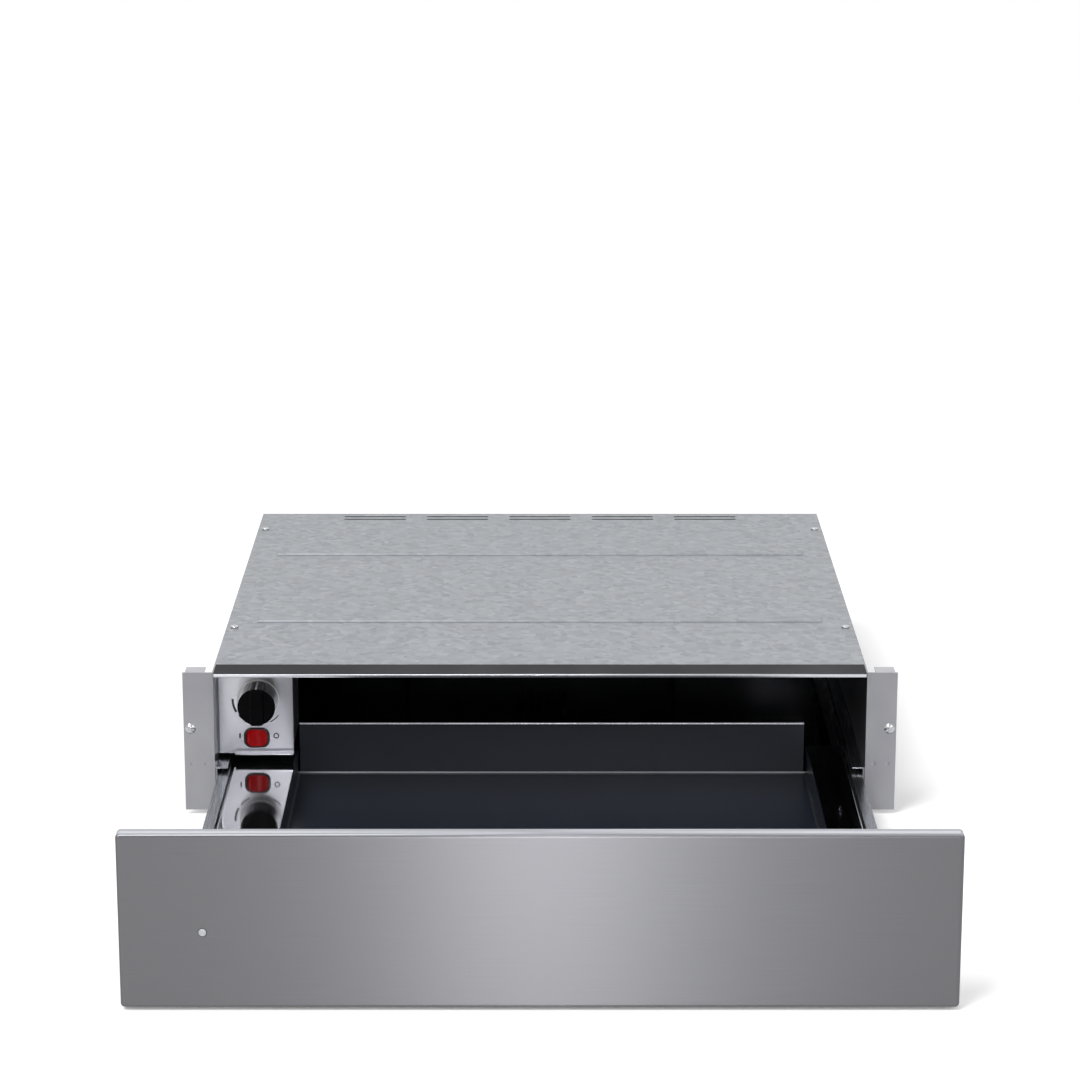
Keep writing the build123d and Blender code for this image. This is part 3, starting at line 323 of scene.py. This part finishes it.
def clear_acrylic():
    """Acrylic light guide, turned and flame polished: a small silvery dome, its grey painted into the base colour
    as a painted reflection of the dark behind it.
    """
    material, tree, shader = new_material("acrylic_clear_polished", IOR=1.49, Transmission_Weight=0.35)
    fine = grain(tree, (1.2, 1.2, 1.2))
    finish_surface(tree, shader, colour=(fine, "#a4a6aa", "#bcbec2"), tones=SOFT, gloss=(fine, 0.05, 0.12))
    return material


def moulded_rubber():
    """EPDM rubber, moulded: soft black, matt, dusted with bloom."""
    material, tree, shader = new_material("rubber_epdm_moulded", IOR=1.5)
    bloom = grain(tree, (2.6, 2.6, 2.6))
    finish_surface(tree, shader, colour=(bloom, "#141414", "#232322"), gloss=(bloom, 0.6, 0.8),
                   relief=(bloom, 0.01))
    return material


def white_ink():
    """Epoxy ink, screen printed: flat off white with a barely uneven tone and no gloss."""
    material, tree, shader = new_material("ink_white_screen_printed", IOR=1.5)
    fine = grain(tree, (0.25, 0.25, 0.25), detail=2.0)
    finish_surface(tree, shader, colour=(fine, "#d6d6d2", "#e8e8e4"), tones=SOFT, gloss=(fine, 0.42, 0.55))
    return material


# ---- which finish goes on what ----
FINISHES = {
    "front_steel": brushed_stainless(),
    "polished_steel": mirror_stainless(),
    "satin_steel": satin_stainless(),
    "zinc_sheet": galvanised_sheet(),
    "runner_zinc": plated_runner(),
    "screw_steel": nickel_plate(),
    "tray_enamel": fired_enamel(),
    "core_board": pressed_board(),
    "black_plastic": gloss_black_abs(),
    "dark_plastic": dark_nylon(),
    "white_print": white_ink(),
    "red_rocker": red_polycarbonate_painted_glow(),
    "clear_lens": clear_acrylic(),
    "soft_rubber": moulded_rubber(),
    "white_ceramic": steatite(),
    "brass_tab": stamped_brass(),
    "heater_sheath": heated_steel(),
    "copper_tube": drawn_copper(),
}

# nodes whose finish differs from the rest of their slot
# the chassis base and the cover trim take the steel painted dark, painted shade for the dark surroundings they
# would mirror
DARK_STEEL = stainless_painted_dark()
BRIGHT_STEEL = burnished_stainless()
OWN_FINISH = {
    "chassis_base": DARK_STEEL,
    "cover_trim": DARK_STEEL,
    "control_panel": BRIGHT_STEEL,
    "thermostat_knob": deep_black_abs(),
}


def finish_cad_nodes():
    """Gives each CAD node the finish of its slot in the record, or its own."""
    for part in frame["record"]["subparts"]:
        materials = frame["nodes"][part["node"]].data.materials
        materials.clear()
        materials.append(OWN_FINISH.get(part["node"], FINISHES[part["material_slot"]]))


finish_cad_nodes()


# ---- pieces the construction leaves to the looks ----
SMOOTH_BELOW = math.radians(40)    # edges sharper than this stay sharp
SAME_PLACE = 0.01 * MM             # corners this close to a side of their block lie on it
DOUBLES = 0.001 * MM

# sides and edges of a block, as -1 low, 1 high or 0 any, along X, Y and Z
TOP = (0, 0, 1)
FRONT = (0, -1, 0)
TOP_FRONT = (0, -1, 1)
TOP_RIGHT = (1, 0, 1)
TOP_LEFT = (-1, 0, 1)


def middle(low, high):
    return [(a + b) / 2 for a, b in zip(low, high)]


def begin_piece(name):
    """An empty piece at the origin, in edit mode, ready for primitives."""
    bpy.ops.object.select_all(action="DESELECT")
    piece = bpy.data.objects.new(name, bpy.data.meshes.new(name))
    bpy.context.collection.objects.link(piece)
    bpy.context.view_layer.objects.active = piece
    piece.select_set(True)
    bpy.ops.object.mode_set(mode="EDIT")
    return piece


def end_piece(piece, body, slot, finish=None):
    """Cleans the mesh, gives the piece its slot's finish or its own, and ties it to its body."""
    bpy.ops.mesh.select_all(action="SELECT")
    bpy.ops.mesh.remove_doubles(threshold=DOUBLES)
    bpy.ops.mesh.normals_make_consistent(inside=False)
    bpy.ops.object.mode_set(mode="OBJECT")
    piece.data.materials.append(finish or FINISHES[slot])
    bpy.ops.object.shade_smooth_by_angle(angle=SMOOTH_BELOW)
    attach(piece, body)


def select_edges(piece, low, high, side):
    """Selects the block's edges whose two ends both lie on the side or edge that is named."""
    wanted = [(axis, high[axis] if sign > 0 else low[axis]) for axis, sign in enumerate(side) if sign]
    bpy.ops.mesh.select_all(action="DESELECT")
    shape = bmesh.from_edit_mesh(piece.data)
    for edge in shape.edges:
        edge.select_set(all(abs(end.co[axis] - place) < SAME_PLACE
                            for end in edge.verts for axis, place in wanted))
    bmesh.update_edit_mesh(piece.data)


def strip(name, body, slot, low, high, side, bevel, segments=3, profile=0.5, finish=None):
    """A long block between two corners, bevelled along the side or edge that is named."""
    piece = begin_piece(name)
    centre = middle(low, high)
    bpy.ops.mesh.primitive_cube_add(size=1, location=centre)
    bpy.ops.transform.resize(value=[b - a for a, b in zip(low, high)], center_override=centre)
    select_edges(piece, low, high, side)
    bpy.ops.mesh.bevel(offset=bevel, segments=segments, profile=profile, affect="EDGES")
    end_piece(piece, body, slot, finish)


def flat_ring(name, body, slot, centre, radius, width, depth):
    """A flat ring facing the front: a torus pressed down to its depth."""
    piece = begin_piece(name)
    bpy.ops.mesh.primitive_torus_add(location=centre, rotation=(math.radians(90), 0, 0), major_segments=48,
                                     minor_segments=8, major_radius=radius, minor_radius=width / 2)
    bpy.ops.transform.resize(value=(1, depth / width, 1), center_override=centre)
    end_piece(piece, body, slot)


# the hem along the top of the drawer's back wall, rounded on both sides
HEM_AHEAD, HEM_BEHIND, HEM_HEIGHT = 0.4 * MM, 0.3 * MM, 1.3 * MM
HEM_ROUNDING = 0.7 * MM

wall_low, wall_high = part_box("drawer_back_wall")
strip("back_wall_hem", "drawer", "polished_steel",
      (wall_low.x, wall_low.y - HEM_AHEAD, wall_high.z),
      (wall_high.x, wall_high.y + HEM_BEHIND, wall_high.z + HEM_HEIGHT),
      TOP, HEM_ROUNDING, finish=BRIGHT_STEEL)

# the bright folded lip along the lower front edge of the cover's trim
LIP_DEPTH, LIP_HEIGHT, LIP_ROUNDING = 1.1 * MM, 2.7 * MM, 0.6 * MM
LIP_INSET = 0.2 * MM               # from the trim's ends and its lower edge

trim_low, trim_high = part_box("cover_trim")
strip("cover_trim_lip", "chassis", "polished_steel",
      (trim_low.x + LIP_INSET, trim_low.y - LIP_DEPTH, trim_low.z + LIP_INSET),
      (trim_high.x - LIP_INSET, trim_low.y, trim_low.z + LIP_INSET + LIP_HEIGHT),
      FRONT, LIP_ROUNDING, finish=BRIGHT_STEEL)

# the small hem turned up along the control panel's ledge
LEDGE_DEPTH, LEDGE_HEIGHT, LEDGE_ROUNDING = 0.7 * MM, 1.8 * MM, 0.3 * MM
LEDGE_LEFT_INSET, LEDGE_RIGHT_INSET, LEDGE_LIFT = 13.4 * MM, 0.4 * MM, 0.1 * MM

panel_low, panel_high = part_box("control_panel")
strip("panel_hem", "chassis", "polished_steel",
      (panel_low.x + LEDGE_LEFT_INSET, panel_low.y - LEDGE_DEPTH, panel_low.z + LEDGE_LIFT),
      (panel_high.x - LEDGE_RIGHT_INSET, panel_low.y, panel_low.z + LEDGE_LIFT + LEDGE_HEIGHT),
      FRONT, LEDGE_ROUNDING, finish=BRIGHT_STEEL)

# the pressed radius where the tray's floor turns up into its walls, given satin steel instead of the tray's
# enamel: a painted highlight along the folds
TRAY_SHEET = 1.0 * MM
FOLD = 1.7 * MM
FOLD_BEVEL, FOLD_SEGMENTS = 1.6 * MM, 5
FOLD_HOLLOW = 0.2                  # below 0.5 the bevel curves inwards

tray_low, tray_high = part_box("drawer_tray")
left, right = tray_low.x + TRAY_SHEET, tray_high.x - TRAY_SHEET
front, back = tray_low.y, tray_high.y - TRAY_SHEET
floor = tray_low.z + TRAY_SHEET
for name, low, high, edge in (
        ("tray_fold_back", (left, back - FOLD, floor), (right, back, floor + FOLD), TOP_FRONT),
        ("tray_fold_left", (left, front, floor), (left + FOLD, back - FOLD, floor + FOLD), TOP_RIGHT),
        ("tray_fold_right", (right - FOLD, front, floor), (right, back - FOLD, floor + FOLD), TOP_LEFT)):
    strip(name, "drawer", "satin_steel", low, high, edge, FOLD_BEVEL, FOLD_SEGMENTS, FOLD_HOLLOW)

# print on the control panel's face
INK = 0.12 * MM                    # thickness of the print, proud of the panel
DIAL_RADIUS = 21.4 * MM
DIAL_STEPS = 14

joint_places = {joint["name"]: joint.get("pos_m") for joint in frame["joints"]}
knob_across, _, knob_up = joint_places["knob_turn"]
panel_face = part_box("knob_ring")[1].y
in_the_ink = panel_face - INK / 2


def dial_stroke(name, width, first, last):
    """A printed stroke about the knob's axis, swept by a spin from one angle to another, in degrees."""
    piece = begin_piece(name)
    turn = math.radians(first)
    start = (knob_across + DIAL_RADIUS * math.cos(turn), in_the_ink, knob_up + DIAL_RADIUS * math.sin(turn))
    bpy.ops.mesh.primitive_plane_add(size=width, location=start, rotation=(0, -turn, 0))
    bpy.ops.transform.resize(value=(1, INK / width, 1), center_override=start)
    bpy.ops.mesh.spin(steps=DIAL_STEPS, angle=math.radians(last - first),
                      center=(knob_across, in_the_ink, knob_up), axis=(0, 1, 0))
    end_piece(piece, "chassis", "black_plastic")


dial_stroke("dial_stroke_low", 1.9 * MM, 178, 210)
dial_stroke("dial_stroke_middle", 1.1 * MM, 219, 244)
dial_stroke("dial_stroke_high", 0.9 * MM, 296, 321)

# a bar for on and a ring for off, either side of the rocker and a little above its middle
MARK_LIFT = 1.5 * MM
ON_FROM_SWITCH, ON_WIDTH, ON_HEIGHT, ON_ROUNDING = 3.85 * MM, 1.3 * MM, 4.2 * MM, 0.03 * MM
OFF_FROM_SWITCH, OFF_RADIUS, OFF_WIDTH = 5.35 * MM, 1.95 * MM, 1.0 * MM

switch_low, switch_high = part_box("switch_body")
mark_up = joint_places["rocker_tilt"][2] + MARK_LIFT
on_left = switch_low.x - ON_FROM_SWITCH
strip("mark_on", "chassis", "black_plastic",
      (on_left, panel_face - INK, mark_up - ON_HEIGHT / 2),
      (on_left + ON_WIDTH, panel_face, mark_up + ON_HEIGHT / 2), FRONT, ON_ROUNDING, segments=1)
flat_ring("mark_off", "chassis", "black_plastic", (switch_high.x + OFF_FROM_SWITCH, in_the_ink, mark_up),
          OFF_RADIUS, OFF_WIDTH, INK)

# a dark ring round the indicator's lens, standing in for the shade at the hole's edge: painted shade
EDGE_RADIUS, EDGE_WIDTH, EDGE_DEPTH = 3.1 * MM, 0.5 * MM, 0.3 * MM

lens_across, _, lens_up = middle(*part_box("indicator_lens"))
flat_ring("lens_gap_painted_shade", "drawer", "dark_plastic", (lens_across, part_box("front_skin")[0].y, lens_up),
          EDGE_RADIUS, EDGE_WIDTH, EDGE_DEPTH)


# ---- floor and background ----
FLOOR_SIZE = 18.0
FLOOR_DROP = 0.5 * MM              # below the drawer, so that the two don't flicker
FLOOR_GLOW = 0.15                  # evens out the far floor behind the lamps
BACKGROUND_SEEN = 1.0              # strength for what the camera, metal or glass sees
BACKGROUND_LIGHT = 0.55            # strength as light


def make_floor():
    """A wide pale floor that takes the shadow."""
    bpy.ops.mesh.primitive_plane_add(size=FLOOR_SIZE, location=(0, 0, -FLOOR_DROP))
    plane = bpy.context.object
    plane.name = "studio_floor"
    material, _, _ = new_material("floor_pale_matt", Roughness=0.9, Base_Color=linear("#f2f2f2"),
                                  Emission_Color=linear("#ffffff"), Emission_Strength=FLOOR_GLOW)
    plane.data.materials.append(material)
    plane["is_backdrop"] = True


def make_world():
    """White for whatever the camera, metal or glass sees directly, a softer level as light."""
    world = bpy.data.worlds.new("studio_white")
    bpy.context.scene.world = world
    world.use_nodes = True
    tree = world.node_tree
    tree.nodes.clear()
    path = add_node(tree, "ShaderNodeLightPath")
    direct = add_node(tree, "ShaderNodeMath", {"operation": "MAXIMUM"},
                      {0: path.outputs["Is Camera Ray"], 1: path.outputs["Is Glossy Ray"]})
    seen = add_node(tree, "ShaderNodeMath", {"operation": "MAXIMUM"},
                    {0: direct.outputs[0], 1: path.outputs["Is Transmission Ray"]})
    light = add_node(tree, "ShaderNodeBackground", {"Color": linear("#ffffff"), "Strength": BACKGROUND_LIGHT})
    white = add_node(tree, "ShaderNodeBackground", {"Color": linear("#ffffff"), "Strength": BACKGROUND_SEEN})
    mix = add_node(tree, "ShaderNodeMixShader",
                   links={0: seen.outputs[0], 1: light.outputs[0], 2: white.outputs[0]})
    add_node(tree, "ShaderNodeOutputWorld", links={"Surface": mix.outputs[0]})


# ---- lamps ----
SUN_TOWARD = (-0.55, -0.5, 1.3)    # from the drawer to the sun
SUN_SPREAD = 24.0                  # degrees
SUN_STRENGTH = 1.4

# name, place, point it is aimed at, width and height in metres, watts
SOFT_BOXES = (
    ("key_soft_box", (-1.5, -2.2, 2.4), (0, -0.1, 0.05), (1.5, 0.9), 27.0),
    ("fill_soft_box", (1.9, -1.8, 1.7), (0, -0.1, 0.05), (1.2, 1.2), 14.0),
    ("front_strip", (0.0, -3.1, 0.13), (0, -0.42, 0.07), (0.16, 0.16), 15.5),
    ("back_strip", (0.0, 2.2, 1.2), (0, -0.4, 0.13), (2.6, 0.5), 6.0),
    ("lens_fill", (0.15, -2.9, 1.35), (0, 0.1, 0.06), (0.5, 0.3), 12.0),
)


def make_sun():
    """A wide, even light from one direction, so that the whole floor is lit alike."""
    data = bpy.data.lights.new("high_sun", "SUN")
    data.energy = SUN_STRENGTH
    data.angle = math.radians(SUN_SPREAD)
    sun = bpy.data.objects.new("high_sun", data)
    bpy.context.collection.objects.link(sun)
    sun.rotation_euler = Vector(SUN_TOWARD).to_track_quat("Z", "Y").to_euler()


def make_soft_box(name, place, aim, size, watts):
    """A soft rectangular lamp aimed at a point."""
    data = bpy.data.lights.new(name, "AREA")
    data.shape = "RECTANGLE"
    data.size, data.size_y = size
    data.energy = watts
    lamp = bpy.data.objects.new(name, data)
    bpy.context.collection.objects.link(lamp)
    lamp.location = place
    lamp.rotation_euler = (Vector(aim) - Vector(place)).to_track_quat("-Z", "Y").to_euler()


# ---- camera ----
CAMERA_PLACE = (0.0, -2.6, 0.924)
CAMERA_DOWN = 14.85                # degrees below level
CAMERA_LENS = 110.3                # mm
CAMERA_SENSOR = 36.0               # mm


def make_camera():
    """A camera ahead of the drawer and a little above it."""
    data = bpy.data.cameras.new("camera")
    data.lens = CAMERA_LENS
    data.sensor_width = CAMERA_SENSOR
    camera = bpy.data.objects.new("camera", data)
    bpy.context.collection.objects.link(camera)
    camera.location = CAMERA_PLACE
    camera.rotation_euler = (math.radians(90 - CAMERA_DOWN), 0, 0)
    bpy.context.scene.camera = camera


make_floor()
make_world()
make_sun()
for box in SOFT_BOXES:
    make_soft_box(*box)
make_camera()
bpy.context.scene.view_settings.view_transform = "Standard"

low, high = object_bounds()
